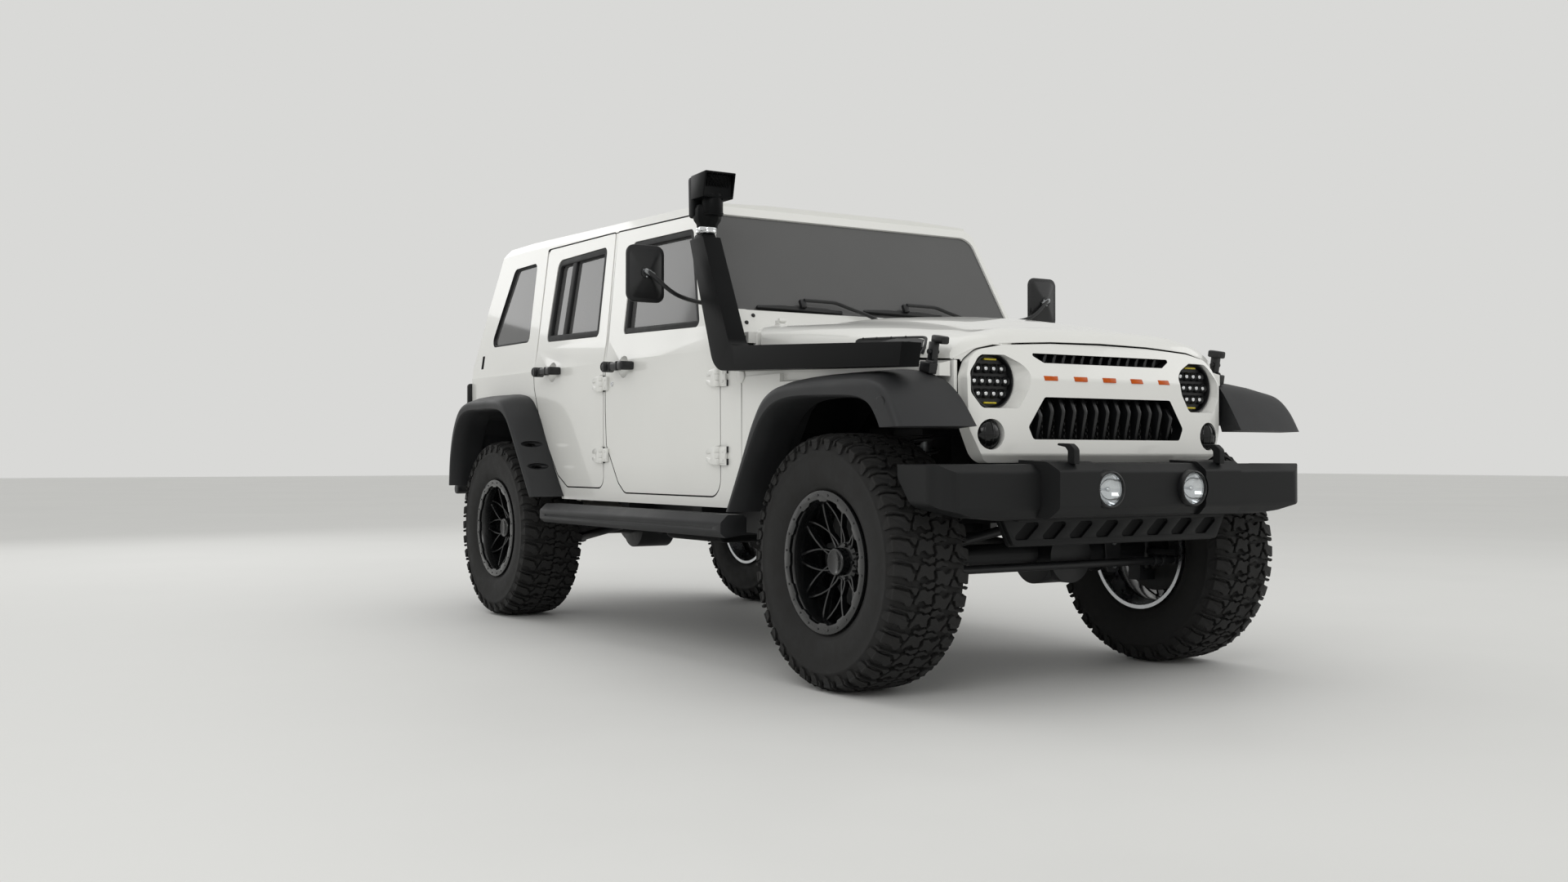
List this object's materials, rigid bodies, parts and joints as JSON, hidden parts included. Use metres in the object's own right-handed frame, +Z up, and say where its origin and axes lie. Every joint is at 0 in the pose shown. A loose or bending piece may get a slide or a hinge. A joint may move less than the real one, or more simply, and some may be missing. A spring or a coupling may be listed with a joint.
{
  "type": "lifted off-road 4x4",
  "caption": "Lifted off-road vehicle with hardtop, wide flares, mud tyres, snorkel and steel bumpers; doors, hood, tailgate, wheels and steering move.",
  "frame": {"origin": "on the floor at the middle of the vehicle's length and width", "axes": "+X forward, +Y to the vehicle's left, +Z up"},
  "size_m": [4.5895, 2.1978, 1.888],
  "materials": {
    "white_paint": "gloss",
    "grey_plastic": "textured",
    "black_plastic": "satin",
    "black_steel": "satin",
    "black_alloy": "gloss",
    "rubber": "matte",
    "glass": "tinted",
    "lamp": "clear lens",
    "cast_iron": "cast",
    "steel": "rolled",
    "fabric": "woven"
  },
  "bodies": {
    "body": {"frame": "black_steel", "spring_towers": "black_steel", "tub": "white_paint", "hardtop": "white_paint", "hardtop_glass": "glass", "windshield_frame": "white_paint", "windshield_glass": "glass", "front_fenders": "white_paint", "fender_liners": "black_plastic", "fender_flares": "grey_plastic", "grille_shell": "white_paint", "grille_insert": "black_plastic", "front_lamps": "lamp", "tail_lamps": "lamp", "front_bumper": "grey_plastic", "engine": "cast_iron", "side_steps": "grey_plastic", "snorkel": "black_plastic", "wipers": "black_plastic", "dashboard": "grey_plastic", "seat_bases": "black_steel", "front_seats": "fabric", "rear_seat": "fabric", "front_axle": "black_steel", "rear_axle": "black_steel", "suspension": "black_steel", "driveline": "cast_iron", "gearbox": "cast_iron", "fuel_tank": "black_plastic", "exhaust": "steel", "rear_bumper": "black_steel"},
    "hood": {"hood": "white_paint"},
    "tailgate": {"tailgate": "white_paint", "spare_rim": "black_alloy", "spare_tyre": "rubber"},
    "steering_wheel": {"steering_wheel": "black_plastic"},
    "knuckle_right": {"knuckle_right": "black_steel"},
    "knuckle_left": {"knuckle_left": "black_steel"},
    "tie_rod": {"tie_rod": "black_steel"},
    "front_door_left": {"front_door_left": "white_paint", "front_door_left_glass": "glass", "mirror_left": "black_plastic"},
    "rear_door_left": {"rear_door_left": "white_paint", "rear_door_left_glass": "glass"},
    "front_door_right": {"front_door_right": "white_paint", "front_door_right_glass": "glass", "mirror_right": "black_plastic"},
    "rear_door_right": {"rear_door_right": "white_paint", "rear_door_right_glass": "glass"},
    "wheel_front_left": {"rim_front_left": "black_alloy", "tyre_front_left": "rubber"},
    "wheel_front_right": {"rim_front_right": "black_alloy", "tyre_front_right": "rubber"},
    "wheel_rear_left": {"rim_rear_left": "black_alloy", "tyre_rear_left": "rubber"},
    "wheel_rear_right": {"rim_rear_right": "black_alloy", "tyre_rear_right": "rubber"}
  },
  "joints": [
    {"name": "front_door_left_hinge", "type": "hinge", "parent": "body", "child": "front_door_left", "pos_m": [0.772, 0.777, 0.95], "axis": [0, 0, -1], "range_deg": [0, 68]},
    {"name": "front_door_right_hinge", "type": "hinge", "parent": "body", "child": "front_door_right", "pos_m": [0.772, -0.777, 0.95], "axis": [0, 0, 1], "range_deg": [0, 68]},
    {"name": "rear_door_left_hinge", "type": "hinge", "parent": "body", "child": "rear_door_left", "pos_m": [-0.271, 0.777, 0.95], "axis": [0, 0, -1], "range_deg": [0, 68]},
    {"name": "rear_door_right_hinge", "type": "hinge", "parent": "body", "child": "rear_door_right", "pos_m": [-0.271, -0.777, 0.95], "axis": [0, 0, 1], "range_deg": [0, 68]},
    {"name": "hood_hinge", "type": "hinge", "parent": "body", "child": "hood", "pos_m": [0.93, 0, 1.312], "axis": [0, -1, 0], "range_deg": [0, 55]},
    {"name": "tailgate_hinge", "type": "hinge", "parent": "body", "child": "tailgate", "pos_m": [-1.906, -0.646, 0.99], "axis": [0, 0, 1], "range_deg": [0, 90]},
    {"name": "steer_right", "type": "hinge", "parent": "body", "child": "knuckle_right", "pos_m": [1.63, -0.64, 0.434], "axis": [0, 0, 1], "range_deg": [-28, 28]},
    {"name": "steer_left", "type": "hinge", "parent": "body", "child": "knuckle_left", "pos_m": [1.63, 0.64, 0.434], "axis": [0, 0, 1], "range_deg": [-28, 28]},
    {"name": "tie_rod_pivot", "type": "hinge", "parent": "knuckle_right", "child": "tie_rod", "pos_m": [1.78, -0.64, 0.398], "axis": [0, 0, 1], "range_deg": [-28, 28]},
    {"name": "steering_column", "type": "hinge", "parent": "body", "child": "steering_wheel", "pos_m": [0.535, 0.37, 1.142], "axis": [-0.9455, 0, 0.3256], "range_deg": [-392, 392]},
    {"name": "front_left_spin", "type": "hinge", "parent": "knuckle_left", "child": "wheel_front_left", "pos_m": [1.63, 0.727, 0.434], "axis": [0, 1, 0], "continuous": true},
    {"name": "front_right_spin", "type": "hinge", "parent": "knuckle_right", "child": "wheel_front_right", "pos_m": [1.63, -0.727, 0.434], "axis": [0, 1, 0], "continuous": true},
    {"name": "rear_left_spin", "type": "hinge", "parent": "body", "child": "wheel_rear_left", "pos_m": [-1.317, 0.727, 0.434], "axis": [0, 1, 0], "continuous": true},
    {"name": "rear_right_spin", "type": "hinge", "parent": "body", "child": "wheel_rear_right", "pos_m": [-1.317, -0.727, 0.434], "axis": [0, 1, 0], "continuous": true}
  ],
  "couplings": [
    {"joint": "steer_left", "follows": "steer_right", "ratio": 1},
    {"joint": "tie_rod_pivot", "follows": "steer_right", "ratio": -1},
    {"joint": "steering_column", "follows": "steer_right", "ratio": 14}
  ]
}
